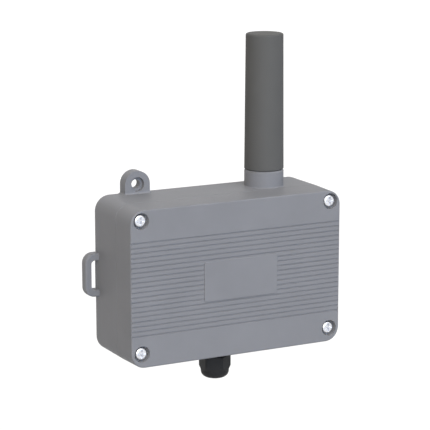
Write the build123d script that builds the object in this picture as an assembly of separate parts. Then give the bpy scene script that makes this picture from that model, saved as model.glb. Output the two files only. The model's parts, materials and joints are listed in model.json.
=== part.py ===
"""Wireless temperature sensor: grooved wall housing, stub antenna on a collar, cable gland below.

Millimetres. The origin is the middle of the back face, on the wall. The front looks along -Y, +Z is up.
Depth is counted forward from the wall, so a thing at depth d lies at y = -d.
"""
import math
import os

from build123d import *

# Housing outline
BASE_WIDTH = 120.8
BASE_HEIGHT = 81.4
CORNER_RADIUS = 8.0
BASE_DEPTH = 26.0
COVER_DEPTH = 16.5
COVER_DRAFT = 0.4
BACK_EDGE_RADIUS = 0.8
FRONT_EDGE_RADIUS = 0.8
WALL = 3.0
BACK_WALL = 3.0
FRONT_WALL = 3.0
JOINT_CHAMFER = 0.25

# Corner towers, their brass inserts and the cover screws
TOWER = 11.6
LOWER_TOWER = 13.2
TOWER_CORNER_RADIUS = 4.0
CAVITY_CORNER_RADIUS = 2.0
SCREW_EDGE_X = 6.3
SCREW_EDGE_TOP = 6.0
SCREW_EDGE_BOTTOM = 7.6
SCREW_RECESS_DIAMETER = 8.4
SCREW_RECESS_DEPTH = 3.4
SCREW_HOLE_DIAMETER = 3.9
SCREW_DIAMETER = 3.5
SCREW_LENGTH = 20.0
SCREW_HEAD_DIAMETER = 7.0
SCREW_HEAD_HEIGHT = 2.6
INSERT_DIAMETER = 5.2
INSERT_LENGTH = 6.0
INSERT_SINK = 0.2
INSERT_WAIST = 0.35
INSERT_POCKET_EXTRA = 2.0

# Shapes that pieces share, as shares of a size, and how near counts as the same place
ROUND_SHARE = 0.3
HEAD_ROUND_SHARE = 0.6
POINT_SHARE = 0.2
RECESS_REACH_SHARE = 0.6
RECESS_WIDTH_SHARE = 0.15
RECESS_DEPTH_SHARE = 0.55
NEAR = 0.001

# Gasket groove in the base rim, and the cover's locating lip
GROOVE_INSET = 0.8
GASKET_GROOVE_WIDTH = 1.4
GASKET_GROOVE_DEPTH = 1.2
GASKET_CLEARANCE = 0.05
LIP_CLEARANCE = 0.2
LIP_THICKNESS = 1.2
LIP_HEIGHT = 1.5

# Front face: grooves and the plain raised plate
GROOVE_COUNT = 20
GROOVE_PITCH = 2.5
GROOVE_WIDTH = 0.7
GROOVE_DEPTH = 0.45
PLATE_WIDTH = 42.0
PLATE_HEIGHT = 20.8
PLATE_CENTRE_X = 1.7
PLATE_CORNER_RADIUS = 1.2
PLATE_RISE = 0.35
PLATE_EDGE_RADIUS = 0.2

# Fixing ear at the top left
EAR_X = -38.9
EAR_RISE = 4.9
EAR_RADIUS = 7.0
EAR_THICKNESS = 6.2
EAR_ROOT = 3.0
EAR_FOOT_RADIUS = 1.0
EAR_HOLE_DIAMETER = 4.7
EAR_COUNTERBORE_DIAMETER = 7.5
EAR_COUNTERBORE_DEPTH = 2.4

# Strap loops, one on each side
LOOP_CENTRE_Z = 0.4
LOOP_REACH = 7.6
LOOP_HEIGHT = 22.8
LOOP_BAR = 3.3
LOOP_ARM = 3.6
LOOP_THICKNESS = 5.2
LOOP_CORNER_RADIUS = 5.2
LOOP_SLOT_RADIUS = 2.0
LOOP_EDGE_RADIUS = 0.9
LOOP_ROOT = 2.0

# Antenna collar and radome
ANTENNA_X = 29.9
ANTENNA_DEPTH = 15.0
COLLAR_DIAMETER = 20.6
COLLAR_HEIGHT = 8.7
COLLAR_BORE = 15.0
COLLAR_FOOT_RADIUS = 0.5
COLLAR_EDGE = 0.6
RADOME_LENGTH = 71.0
RADOME_TOP_DIAMETER = 19.5
RADOME_EDGE_RADIUS = 0.9
RADOME_WALL = 2.0
RADOME_SPIGOT_LENGTH = 8.0
RADOME_SPIGOT_BORE = 11.0
SPIGOT_CLEARANCE = 0.05
ANTENNA_SEAL_HEIGHT = 1.8
ANTENNA_SEAL_DEPTH = 1.2
ANTENNA_SEAL_DROP = 3.2
HOLDER_FLANGE = 1.5
HOLDER_LENGTH = 7.0
ROD_DIAMETER = 1.8
ROD_BELOW_HOLDER = 3.0
ROD_TOP_GAP = 3.0

# Circuit board on four posts
BOARD_WIDTH = 104.0
BOARD_HEIGHT = 54.0
BOARD_CENTRE_Z = 1.0
BOARD_THICKNESS = 1.6
BOARD_CORNER_RADIUS = 2.0
POST_HEIGHT = 6.0
POST_DIAMETER = 6.5
POST_INSET_X = 4.0
POST_INSET_Z = 4.0
BOARD_HOLE_DIAMETER = 2.7
BOARD_SCREW_DIAMETER = 2.2
BOARD_SCREW_LENGTH = 6.5
BOARD_SCREW_HEAD_DIAMETER = 4.5
BOARD_SCREW_HEAD_HEIGHT = 1.6
THREAD_CLEARANCE = 0.02

# Antenna lead, its plug and socket
SOCKET_Z = 12.0
SOCKET_DIAMETER = 3.0
SOCKET_HEIGHT = 1.2
SOCKET_WELL_DIAMETER = 2.1
SOCKET_FLOOR = 0.3
SOCKET_PIN_DIAMETER = 0.6
SOCKET_PIN_RISE = 0.95
PLUG_DIAMETER = 3.2
PLUG_HEIGHT = 2.0
PLUG_FERRULE_LENGTH = 3.0
PLUG_FERRULE_DIAMETER = 1.8
LEAD_DIAMETER = 1.4
LEAD_FIRST_RUN = 5.0
LEAD_LAST_RUN = 5.0
LEAD_BEND_SHARE = 0.45

# Radio module with its shield can
MODULE_WIDTH = 20.0
MODULE_HEIGHT = 16.0
MODULE_THICKNESS = 1.0
MODULE_X = 30.0
MODULE_Z = -3.0
MODULE_NOTCH_DIAMETER = 0.8
MODULE_NOTCH_PITCH = 2.0
MODULE_NOTCH_COUNT = 7
SHIELD_WIDTH = 16.0
SHIELD_HEIGHT = 13.0
SHIELD_RISE = 2.2
SHIELD_SHEET = 0.3
SHIELD_CORNER_RADIUS = 1.0
SHIELD_VENT_DIAMETER = 0.9
SHIELD_VENT_PITCH = 2.5
SHIELD_VENT_COLUMNS = 4
SHIELD_VENT_ROWS = 3

# Small parts on the board: width, height and rise of each, and where they sit
CONTROLLER_SIZE = 9.0
CONTROLLER_RISE = 1.3
CONTROLLER_X = 3.0
CONTROLLER_Z = -5.0
PIN_COUNT = 8
PIN_PITCH = 1.0
PIN_WIDTH = 0.45
PIN_REACH = 1.0
PIN_RISE = 0.5
CRYSTAL_WIDTH = 5.0
CRYSTAL_HEIGHT = 3.2
CRYSTAL_RISE = 1.1
CRYSTAL_CORNER_RADIUS = 0.6
CRYSTAL_EDGE_RADIUS = 0.25
CRYSTAL_X = 13.5
CRYSTAL_Z = -5.0
CHIP_WIDTH = 5.0
CHIP_HEIGHT = 4.0
CHIP_RISE = 1.5
CHIP_X = -36.0
CHIP_Z = -12.0
CHIP_PIN_COUNT = 4
CHIP_PIN_PITCH = 1.27
CHIP_BEVEL = 0.28
CAPACITOR_DIAMETER = 8.0
CAPACITOR_RISE = 11.0
CAPACITOR_GROOVE_RISE = 1.0
CAPACITOR_GROOVE_WIDTH = 1.0
CAPACITOR_GROOVE_DEPTH = 0.4
CAPACITOR_EDGE = 0.5
CAPACITOR_X = -20.0
CAPACITOR_Z = -11.0
LED_DIAMETER = 3.0
LED_FLANGE_DIAMETER = 3.8
LED_FLANGE_RISE = 1.0
LED_BARREL_RISE = 2.6
LED_X = 44.0
LED_Z = -7.0

# Battery: one AA lithium cell in a cradle
CELL_DIAMETER = 14.3
CELL_LENGTH = 48.5
CELL_NUB_DIAMETER = 5.5
CELL_NUB_LENGTH = 1.5
CELL_EDGE_RADIUS = 0.6
CELL_GROOVE_DEPTH = 0.4
CELL_GROOVE_WIDTH = 0.8
CELL_GROOVE_FROM_END = 2.4
CELL_CLEARANCE = 0.1
CRADLE_FLOOR = 1.5
CRADLE_WALL = 2.0
CRADLE_X = -16.0
CRADLE_Z = 13.0
CONTACT_SHEET = 0.4
CONTACT_WIDTH = 9.0
CONTACT_TAB = 2.5

# Terminal block for the probe leads
TERMINAL_POLES = 3
TERMINAL_PITCH = 5.0
TERMINAL_HEIGHT = 8.0
TERMINAL_RISE = 10.0
TERMINAL_SLOPE = 3.0
TERMINAL_Z = -19.0
TERMINAL_ENTRY_DIAMETER = 2.8
TERMINAL_ENTRY_RISE = 3.4
TERMINAL_ENTRY_LENGTH = 5.0
TERMINAL_WELL_DIAMETER = 4.0
TERMINAL_WELL_DEPTH = 4.5
TERMINAL_WELL_OFFSET = 1.2
TERMINAL_SCREW_DIAMETER = 3.6
TERMINAL_SCREW_RISE = 3.0
TERMINAL_SLOT_WIDTH = 0.7
TERMINAL_SLOT_DEPTH = 0.9

# Pairing button
BUTTON_SIZE = 6.0
BUTTON_BODY_RISE = 3.5
BUTTON_BODY_BEVEL = 0.5
BUTTON_X = 44.0
BUTTON_Z = -16.0
BUTTON_CAP_DIAMETER = 3.4
BUTTON_CAP_RISE = 5.2
BUTTON_CAP_EDGE_RADIUS = 0.4
BUTTON_CLEARANCE = 0.1
BUTTON_TRAVEL = 0.25
BUTTON_FLOOR = 0.8

# Cable gland in the bottom wall, metric 12 x 1.5
GLAND_X = 0.45
GLAND_DEPTH = 16.0
GLAND_THREAD_DIAMETER = 12.0
GLAND_FLATS = 15.0
GLAND_WALL_HOLE_DIAMETER = 12.4
GLAND_BORE = 7.6
GLAND_FLANGE_HEIGHT = 4.5
GLAND_SEAL_THICKNESS = 1.0
GLAND_SEAL_DIAMETER = 14.6
GLAND_UPPER_THREAD = 8.2
GLAND_LOWER_THREAD = 7.3
GLAND_THREAD_CHAMFER = 0.6
GLAND_LOWER_BORE = 10.0
GLAND_LOWER_BORE_DEPTH = 6.5
LOCK_NUT_HEIGHT = 3.6
CORNER_CLIP = 0.3
NUT_GAP = 0.7
NUT_HEX_HEIGHT = 5.7
NUT_SHOULDER = 2.1
NUT_BARREL_DIAMETER = 14.9
NUT_BARREL_HEIGHT = 0.5
NUT_DOME_HEIGHT = 3.7
NUT_DOME_FULLNESS = 0.7
NUT_MOUTH_DIAMETER = 6.6
NUT_MOUTH_RIM = 0.9
NUT_THREAD_DEPTH = 7.4
THREAD_RUNNING_CLEARANCE = 0.06
SEAL_INSERT_BORE = 6.0
SEAL_INSERT_CLEARANCE = 0.1
SEAL_INSERT_TOP_GAP = 0.3
SEAL_INSERT_NOSE = 1.4
SEAL_INSERT_NOSE_DIAMETER = 8.0

# Places that follow from the sizes above
DEPTH = BASE_DEPTH + COVER_DEPTH
TOP = BASE_HEIGHT / 2
BOTTOM = -BASE_HEIGHT / 2
SCREW_X = BASE_WIDTH / 2 - SCREW_EDGE_X
SCREW_TOP_Z = TOP - SCREW_EDGE_TOP
SCREW_BOTTOM_Z = BOTTOM + SCREW_EDGE_BOTTOM
BOARD_BACK = BACK_WALL + POST_HEIGHT
BOARD_FRONT = BOARD_BACK + BOARD_THICKNESS
POST_X = BOARD_WIDTH / 2 - POST_INSET_X
POST_Z = BOARD_HEIGHT / 2 - POST_INSET_Z
EAR_Z = TOP + EAR_RISE
COLLAR_TOP = TOP + COLLAR_HEIGHT
HOLDER_TOP = COLLAR_TOP - RADOME_SPIGOT_LENGTH + HOLDER_LENGTH
HOLDER_BOTTOM = COLLAR_TOP - RADOME_SPIGOT_LENGTH - HOLDER_FLANGE
ROD_BOTTOM = HOLDER_BOTTOM - ROD_BELOW_HOLDER
FLANGE_TOP = BOTTOM - GLAND_SEAL_THICKNESS
FLANGE_BOTTOM = FLANGE_TOP - GLAND_FLANGE_HEIGHT
GLAND_END = FLANGE_BOTTOM - GLAND_LOWER_THREAD
NUT_TOP = FLANGE_BOTTOM - NUT_GAP
NUT_BOTTOM = NUT_TOP - NUT_HEX_HEIGHT - NUT_SHOULDER - NUT_BARREL_HEIGHT - NUT_DOME_HEIGHT
CELL_DEPTH = BOARD_FRONT + CRADLE_FLOOR + CELL_CLEARANCE + CELL_DIAMETER / 2
CRADLE_ROOM = CELL_LENGTH + CELL_NUB_LENGTH + 2 * CONTACT_SHEET + 2 * CELL_CLEARANCE
CELL_LEFT = CRADLE_X - CRADLE_ROOM / 2 + CONTACT_SHEET + CELL_CLEARANCE
CRADLE_SILL = CELL_DEPTH - CELL_DIAMETER / 4


# Building blocks
def slab(sketch, start, end):
    """Extrude a sketch drawn in X and Z, from one depth to another."""
    return extrude(Plane.XZ.offset(start) * sketch, amount=end - start)


def post(x, z, diameter, start, end):
    """Round post that points forward."""
    return slab(Pos(x, z) * Circle(diameter / 2), start, end)


def upright(x, depth, diameter, bottom, top):
    """Vertical cylinder."""
    disc = Pos(x, -depth) * Circle(diameter / 2)
    return extrude(Plane.XY.offset(bottom) * disc, amount=top - bottom)


def turned_upright(points, x, depth):
    """Turn a closed outline of (radius, height) points about a vertical axis."""
    outline = make_face(Plane.XZ * Polyline(*points, close=True))
    return Pos(x, -depth) * revolve(outline, Axis.Z)


def turned_forward(points, x, z):
    """Turn a closed outline of (radius, depth) points about an axis that points forward."""
    outline = make_face(Plane.XY * Polyline(*[(r, -d) for r, d in points], close=True))
    return Pos(x, 0, z) * revolve(outline, Axis.Y)


def corners(x, z):
    """The four places at plus and minus x and z."""
    return [(sx * x, sz * z) for sz in (1, -1) for sx in (-1, 1)]


def screw_places():
    """The four cover screws, the lower pair further in from its edge than the upper."""
    return [(side * SCREW_X, z) for z in (SCREW_TOP_Z, SCREW_BOTTOM_Z) for side in (-1, 1)]


def hexagon(flats, x, depth, bottom, top):
    """Vertical hexagonal prism with a flat to each side."""
    outline = Pos(x, -depth) * RegularPolygon(flats / 2, 6, major_radius=False, rotation=30)
    return extrude(Plane.XY.offset(bottom) * outline, amount=top - bottom)


def outer_outline():
    return RectangleRounded(BASE_WIDTH, BASE_HEIGHT, CORNER_RADIUS)


def cavity_outline(grow):
    """Inside of the housing between its corner towers, grown outwards by a distance."""
    half_wide = BASE_WIDTH / 2 - WALL + grow
    half_narrow = BASE_WIDTH / 2 - TOWER + grow
    half_tall = BASE_HEIGHT / 2 - WALL + grow
    high = BASE_HEIGHT / 2 - TOWER + grow
    low = BASE_HEIGHT / 2 - LOWER_TOWER + grow
    arms = Pos(0, (high - low) / 2) * Rectangle(2 * half_wide, high + low)
    shape = arms + Rectangle(2 * half_narrow, 2 * half_tall)
    tower_corners = vertices_at(shape, half_narrow, high) + vertices_at(shape, half_narrow, low)
    shape = fillet(tower_corners, TOWER_CORNER_RADIUS - grow)
    arm_ends = vertices_at(shape, half_wide, high) + vertices_at(shape, half_wide, low)
    return fillet(arm_ends + vertices_at(shape, half_narrow, half_tall), CAVITY_CORNER_RADIUS + grow)


def vertices_at(shape, x, y):
    """The vertices of a sketch at plus and minus x and y."""
    return [v for v in shape.vertices() if abs(abs(v.X) - x) < NEAR and abs(abs(v.Y) - y) < NEAR]


# Housing
def ear():
    """Fixing ear that stands on the top edge, flush with the back, with blends round its foot."""
    r = EAR_FOOT_RADIUS
    tongue = Pos(EAR_X, (EAR_Z + TOP) / 2) * Rectangle(2 * EAR_RADIUS, EAR_Z - TOP)
    root = Pos(EAR_X, TOP - EAR_ROOT / 2) * Rectangle(2 * (EAR_RADIUS + r), EAR_ROOT)
    outline = tongue + root + Pos(EAR_X, EAR_Z) * Circle(EAR_RADIUS)
    feet = [v for v in outline.vertices() if abs(v.Y - TOP) < NEAR]
    inner = [v for v in feet if abs(abs(v.X - EAR_X) - EAR_RADIUS) < NEAR]
    standing = slab(fillet(inner, r), 0, EAR_THICKNESS)
    hollow = Pos(-EAR_THICKNESS - r, TOP + r) * Circle(r)
    wedge = Pos(-EAR_THICKNESS - r / 2, TOP + r / 2) * Rectangle(r, r) - hollow
    return standing + extrude(Plane.YZ.offset(EAR_X - EAR_RADIUS) * wedge, amount=2 * EAR_RADIUS)


def ear_hole():
    """Counterbored hole through the ear."""
    bore = post(EAR_X, EAR_Z, EAR_HOLE_DIAMETER, 0, EAR_THICKNESS)
    floor = EAR_THICKNESS - EAR_COUNTERBORE_DEPTH
    return bore + post(EAR_X, EAR_Z, EAR_COUNTERBORE_DIAMETER, floor, EAR_THICKNESS)


def strap_loop(side):
    """Loop for a strap on one side (1 right, -1 left), flush with the back."""
    reach = LOOP_REACH + LOOP_ROOT
    outline = Pos(reach / 2 - LOOP_ROOT, 0) * Rectangle(reach, LOOP_HEIGHT)
    outline = fillet(outline.vertices().group_by(Axis.X)[-1], LOOP_CORNER_RADIUS)
    bar = slab(outline, 0, LOOP_THICKNESS)
    bar = fillet(bar.edges().group_by(Axis.Y)[0] + bar.edges().group_by(Axis.Y)[-1], LOOP_EDGE_RADIUS)
    slot_width = LOOP_REACH - LOOP_BAR
    slot = Pos(slot_width / 2, 0) * Rectangle(slot_width, LOOP_HEIGHT - 2 * LOOP_ARM)
    slot = fillet(slot.vertices().group_by(Axis.X)[-1], LOOP_SLOT_RADIUS)
    bar -= slab(slot, 0, LOOP_THICKNESS)
    placed = Pos(BASE_WIDTH / 2, 0, LOOP_CENTRE_Z) * bar
    return placed if side > 0 else mirror(placed, Plane.YZ)


def collar():
    """Antenna collar on the top face, with a small blend at its foot."""
    r = COLLAR_DIAMETER / 2
    foot = COLLAR_FOOT_RADIUS
    points = [
        (0, TOP - WALL / 2),
        (r + foot, TOP - WALL / 2),
        (r + foot, TOP),
        (r + foot * ROUND_SHARE, TOP + foot * ROUND_SHARE),
        (r, TOP + foot),
        (r, COLLAR_TOP - COLLAR_EDGE),
        (r - COLLAR_EDGE, COLLAR_TOP),
        (0, COLLAR_TOP),
    ]
    return turned_upright(points, ANTENNA_X, ANTENNA_DEPTH)


def base_housing():
    """Base moulding: back, walls, corner towers, board posts, ear, strap loops and antenna collar."""
    body = slab(outer_outline(), 0, BASE_DEPTH)
    body = fillet(body.edges().group_by(Axis.Y)[-1], BACK_EDGE_RADIUS)
    body = chamfer(body.edges().group_by(Axis.Y)[0], JOINT_CHAMFER)
    body += ear()
    body += strap_loop(1)
    body += strap_loop(-1)
    body += collar()
    body -= slab(cavity_outline(0), BACK_WALL, BASE_DEPTH)
    groove = cavity_outline(GROOVE_INSET + GASKET_GROOVE_WIDTH) - cavity_outline(GROOVE_INSET)
    body -= slab(groove, BASE_DEPTH - GASKET_GROOVE_DEPTH, BASE_DEPTH)
    pocket = BASE_DEPTH - INSERT_SINK - INSERT_LENGTH
    for x, z in screw_places():
        body -= post(x, z, INSERT_DIAMETER + 2 * THREAD_CLEARANCE, pocket, BASE_DEPTH)
        body -= post(x, z, SCREW_HOLE_DIAMETER, pocket - INSERT_POCKET_EXTRA, pocket)
    for x, z in corners(POST_X, POST_Z):
        body += post(x, z + BOARD_CENTRE_Z, POST_DIAMETER, BACK_WALL, BOARD_BACK)
        hole_end = BOARD_FRONT - BOARD_SCREW_LENGTH - THREAD_CLEARANCE
        hole = BOARD_SCREW_DIAMETER + 2 * THREAD_CLEARANCE
        body -= post(x, z + BOARD_CENTRE_Z, hole, hole_end, BOARD_BACK)
    body -= ear_hole()
    body -= upright(ANTENNA_X, ANTENNA_DEPTH, COLLAR_BORE, TOP - WALL, COLLAR_TOP)
    body -= upright(GLAND_X, GLAND_DEPTH, GLAND_WALL_HOLE_DIAMETER, BOTTOM, BOTTOM + WALL)
    return body


def front_cover():
    """Cover moulding: drafted walls, grooved face, plain plate, screw recesses and locating lip."""
    taper = math.degrees(math.atan(COVER_DRAFT / COVER_DEPTH))
    body = extrude(Plane.XZ.offset(BASE_DEPTH) * outer_outline(), amount=COVER_DEPTH, taper=taper)
    body = fillet(body.edges().group_by(Axis.Y)[0], FRONT_EDGE_RADIUS)
    body = chamfer(body.edges().group_by(Axis.Y)[-1], JOINT_CHAMFER)
    plate = Pos(PLATE_CENTRE_X, 0) * RectangleRounded(PLATE_WIDTH, PLATE_HEIGHT, PLATE_CORNER_RADIUS)
    rows = GridLocations(0, GROOVE_PITCH, 1, GROOVE_COUNT)
    grooves = Sketch() + [row * Rectangle(BASE_WIDTH, GROOVE_WIDTH) for row in rows]
    body -= slab(grooves - plate, DEPTH - GROOVE_DEPTH, DEPTH)
    raised = slab(plate, DEPTH - GROOVE_DEPTH, DEPTH + PLATE_RISE)
    body += fillet(raised.edges().group_by(Axis.Y)[0], PLATE_EDGE_RADIUS)
    lip_outer = -LIP_CLEARANCE
    lip_inner = -LIP_CLEARANCE - LIP_THICKNESS
    body += slab(cavity_outline(lip_outer), BASE_DEPTH - LIP_HEIGHT, DEPTH - FRONT_WALL)
    body -= slab(cavity_outline(lip_inner), BASE_DEPTH - LIP_HEIGHT, DEPTH - FRONT_WALL)
    for x, z in screw_places():
        body -= post(x, z, SCREW_RECESS_DIAMETER, DEPTH - SCREW_RECESS_DEPTH, DEPTH)
        body -= post(x, z, SCREW_HOLE_DIAMETER, BASE_DEPTH, DEPTH - SCREW_RECESS_DEPTH)
    return body


def cover_gasket():
    """Sealing cord that lies in the groove of the base rim."""
    near = GROOVE_INSET + GASKET_CLEARANCE
    far = GROOVE_INSET + GASKET_GROOVE_WIDTH - GASKET_CLEARANCE
    ring = cavity_outline(far) - cavity_outline(near)
    return slab(ring, BASE_DEPTH - GASKET_GROOVE_DEPTH, BASE_DEPTH)


def cross_recess(head_diameter, top, depth_of_cut):
    """Cross-shaped driver recess, cut from the top of a screw head."""
    reach = head_diameter * RECESS_REACH_SHARE
    width = head_diameter * RECESS_WIDTH_SHARE
    cross = Rectangle(reach, width) + Rectangle(width, reach)
    return slab(cross, top - depth_of_cut, top)


def pan_screw(diameter, length, head_diameter, head_height, seat):
    """Pan head screw that points into the wall, its head resting at the seat depth."""
    top = seat + head_height
    head = post(0, 0, head_diameter, seat, top)
    head = fillet(head.edges().group_by(Axis.Y)[0], head_height * HEAD_ROUND_SHARE)
    shank = post(0, 0, diameter, seat - length, seat)
    shank = chamfer(shank.edges().group_by(Axis.Y)[-1], diameter * POINT_SHARE)
    return head + shank - cross_recess(head_diameter, top, head_height * RECESS_DEPTH_SHARE)


def cover_screws():
    seat = DEPTH - SCREW_RECESS_DEPTH
    screw = pan_screw(SCREW_DIAMETER, SCREW_LENGTH, SCREW_HEAD_DIAMETER, SCREW_HEAD_HEIGHT, seat)
    return Compound(children=[Pos(x, 0, z) * screw for x, z in screw_places()])


def threaded_inserts():
    """Brass inserts, waisted so that the plastic grips them."""
    top = BASE_DEPTH - INSERT_SINK
    bottom = top - INSERT_LENGTH
    third = INSERT_LENGTH / 3
    outer = INSERT_DIAMETER / 2
    bore = SCREW_DIAMETER / 2 + THREAD_CLEARANCE
    points = [
        (bore, top),
        (outer, top),
        (outer, top - third),
        (outer - INSERT_WAIST, top - third),
        (outer - INSERT_WAIST, bottom + third),
        (outer, bottom + third),
        (outer, bottom),
        (bore, bottom),
    ]
    return Compound(children=[turned_forward(points, x, z) for x, z in screw_places()])


# Antenna
def antenna_radome():
    """Tapered tube, closed on top, with a spigot that enters the collar."""
    foot = COLLAR_DIAMETER / 2
    top = COLLAR_TOP + RADOME_LENGTH
    tip = RADOME_TOP_DIAMETER / 2
    spigot = COLLAR_BORE / 2 - SPIGOT_CLEARANCE
    spigot_end = COLLAR_TOP - RADOME_SPIGOT_LENGTH
    seal_top = COLLAR_TOP - ANTENNA_SEAL_DROP
    seal_floor = spigot - ANTENNA_SEAL_DEPTH
    inner = RADOME_SPIGOT_BORE / 2
    edge = RADOME_EDGE_RADIUS
    points = [
        (0, top),
        (tip - edge, top),
        (tip - edge * ROUND_SHARE, top - edge * ROUND_SHARE),
        (tip, top - edge),
        (foot, COLLAR_TOP + COLLAR_EDGE),
        (foot - COLLAR_EDGE, COLLAR_TOP),
        (spigot, COLLAR_TOP),
        (spigot, seal_top),
        (seal_floor, seal_top),
        (seal_floor, seal_top - ANTENNA_SEAL_HEIGHT),
        (spigot, seal_top - ANTENNA_SEAL_HEIGHT),
        (spigot, spigot_end),
        (inner, spigot_end),
        (inner, COLLAR_TOP + RADOME_WALL),
        (foot - RADOME_WALL, COLLAR_TOP + 2 * RADOME_WALL),
        (tip - RADOME_WALL, top - RADOME_WALL),
        (0, top - RADOME_WALL),
    ]
    return turned_upright(points, ANTENNA_X, ANTENNA_DEPTH)


def antenna_seal():
    """Sealing ring in the spigot's groove."""
    outer = COLLAR_BORE / 2 - THREAD_CLEARANCE
    inner = COLLAR_BORE / 2 - SPIGOT_CLEARANCE - ANTENNA_SEAL_DEPTH + THREAD_CLEARANCE
    top = COLLAR_TOP - ANTENNA_SEAL_DROP - THREAD_CLEARANCE
    bottom = COLLAR_TOP - ANTENNA_SEAL_DROP - ANTENNA_SEAL_HEIGHT + THREAD_CLEARANCE
    bevel = (outer - inner) / 4
    points = [
        (inner + bevel, top),
        (outer - bevel, top),
        (outer, top - bevel),
        (outer, bottom + bevel),
        (outer - bevel, bottom),
        (inner + bevel, bottom),
        (inner, bottom + bevel),
        (inner, top - bevel),
    ]
    return turned_upright(points, ANTENNA_X, ANTENNA_DEPTH)


def antenna_holder():
    """Insulator that carries the rod in the spigot, its flange under the spigot's end."""
    rod = ROD_DIAMETER / 2 + THREAD_CLEARANCE
    plug = RADOME_SPIGOT_BORE / 2 - SPIGOT_CLEARANCE
    flange = COLLAR_BORE / 2 - 2 * SPIGOT_CLEARANCE
    shoulder = HOLDER_BOTTOM + HOLDER_FLANGE
    points = [
        (rod, HOLDER_TOP),
        (plug, HOLDER_TOP),
        (plug, shoulder),
        (flange, shoulder),
        (flange, HOLDER_BOTTOM),
        (rod, HOLDER_BOTTOM),
    ]
    return turned_upright(points, ANTENNA_X, ANTENNA_DEPTH)


def antenna_rod():
    top = COLLAR_TOP + RADOME_LENGTH - RADOME_WALL - ROD_TOP_GAP
    return upright(ANTENNA_X, ANTENNA_DEPTH, ROD_DIAMETER, ROD_BOTTOM, top)


def antenna_lead():
    """Coaxial lead from the foot of the rod to the plug on the board."""
    plug_depth = BOARD_FRONT + SOCKET_HEIGHT + PLUG_HEIGHT / 2
    end = SOCKET_Z + PLUG_DIAMETER / 2 + PLUG_FERRULE_LENGTH
    route = [
        (ANTENNA_X, -ANTENNA_DEPTH, ROD_BOTTOM),
        (ANTENNA_X, -ANTENNA_DEPTH, ROD_BOTTOM - LEAD_FIRST_RUN),
        (ANTENNA_X, -plug_depth, end + LEAD_LAST_RUN),
        (ANTENNA_X, -plug_depth, end),
    ]
    run = [Vector(*b) - Vector(*a) for a, b in zip(route, route[1:])]
    radii = []
    for before, after in zip(run, run[1:]):
        half_turn = math.radians(before.get_angle(after)) / 2
        radii.append(LEAD_BEND_SHARE * min(before.length, after.length) / math.tan(half_turn))
    print("antenna lead radii", [round(r, 2) for r in radii])
    path = FilletPolyline(*route, radius=radii)
    section = Plane(route[0], z_dir=(0, 0, -1)) * Circle(LEAD_DIAMETER / 2)
    return sweep(section, path)


def coax_socket():
    """Round surface socket with a centre pin."""
    top = BOARD_FRONT + SOCKET_HEIGHT
    shell = post(ANTENNA_X, SOCKET_Z, SOCKET_DIAMETER, BOARD_FRONT, top)
    well = post(ANTENNA_X, SOCKET_Z, SOCKET_WELL_DIAMETER, BOARD_FRONT + SOCKET_FLOOR, top)
    pin = post(ANTENNA_X, SOCKET_Z, SOCKET_PIN_DIAMETER, BOARD_FRONT, BOARD_FRONT + SOCKET_PIN_RISE)
    return shell - well + pin


def coax_plug():
    """Plug on the socket, with the crimp ferrule that takes the lead."""
    base = BOARD_FRONT + SOCKET_HEIGHT
    body = post(ANTENNA_X, SOCKET_Z, PLUG_DIAMETER, base, base + PLUG_HEIGHT)
    end = SOCKET_Z + PLUG_DIAMETER / 2 + PLUG_FERRULE_LENGTH
    return body + upright(ANTENNA_X, base + PLUG_HEIGHT / 2, PLUG_FERRULE_DIAMETER, SOCKET_Z, end)


# Circuit board and what is mounted on it
def circuit_board():
    outline = Pos(0, BOARD_CENTRE_Z) * RectangleRounded(BOARD_WIDTH, BOARD_HEIGHT, BOARD_CORNER_RADIUS)
    holes = Sketch() + [
        Pos(x, z + BOARD_CENTRE_Z) * Circle(BOARD_HOLE_DIAMETER / 2) for x, z in corners(POST_X, POST_Z)
    ]
    return slab(outline - holes, BOARD_BACK, BOARD_FRONT)


def board_screws():
    screw = pan_screw(
        BOARD_SCREW_DIAMETER,
        BOARD_SCREW_LENGTH,
        BOARD_SCREW_HEAD_DIAMETER,
        BOARD_SCREW_HEAD_HEIGHT,
        BOARD_FRONT,
    )
    places = [(x, z + BOARD_CENTRE_Z) for x, z in corners(POST_X, POST_Z)]
    return Compound(children=[Pos(x, 0, z) * screw for x, z in places])


def radio_module():
    """Small daughter board with half-round solder notches along two edges."""
    outline = Pos(MODULE_X, MODULE_Z) * Rectangle(MODULE_WIDTH, MODULE_HEIGHT)
    places = GridLocations(MODULE_WIDTH, MODULE_NOTCH_PITCH, 2, MODULE_NOTCH_COUNT)
    notches = Sketch() + [
        Pos(MODULE_X, MODULE_Z) * place * Circle(MODULE_NOTCH_DIAMETER / 2) for place in places
    ]
    return slab(outline - notches, BOARD_FRONT, BOARD_FRONT + MODULE_THICKNESS)


def radio_shield():
    """Pressed tin can, open below, with a grid of small vents."""
    base = BOARD_FRONT + MODULE_THICKNESS
    place = Pos(MODULE_X, MODULE_Z)
    outside = place * RectangleRounded(SHIELD_WIDTH, SHIELD_HEIGHT, SHIELD_CORNER_RADIUS)
    inside_width = SHIELD_WIDTH - 2 * SHIELD_SHEET
    inside_height = SHIELD_HEIGHT - 2 * SHIELD_SHEET
    inside = place * RectangleRounded(inside_width, inside_height, SHIELD_CORNER_RADIUS - SHIELD_SHEET)
    can = slab(outside, base, base + SHIELD_RISE)
    can = fillet(can.edges().group_by(Axis.Y)[0], SHIELD_SHEET)
    can -= slab(inside, base, base + SHIELD_RISE - SHIELD_SHEET)
    grid = GridLocations(SHIELD_VENT_PITCH, SHIELD_VENT_PITCH, SHIELD_VENT_COLUMNS, SHIELD_VENT_ROWS)
    vents = Sketch() + [place * vent * Circle(SHIELD_VENT_DIAMETER / 2) for vent in grid]
    return can - slab(vents, base, base + SHIELD_RISE)


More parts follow.
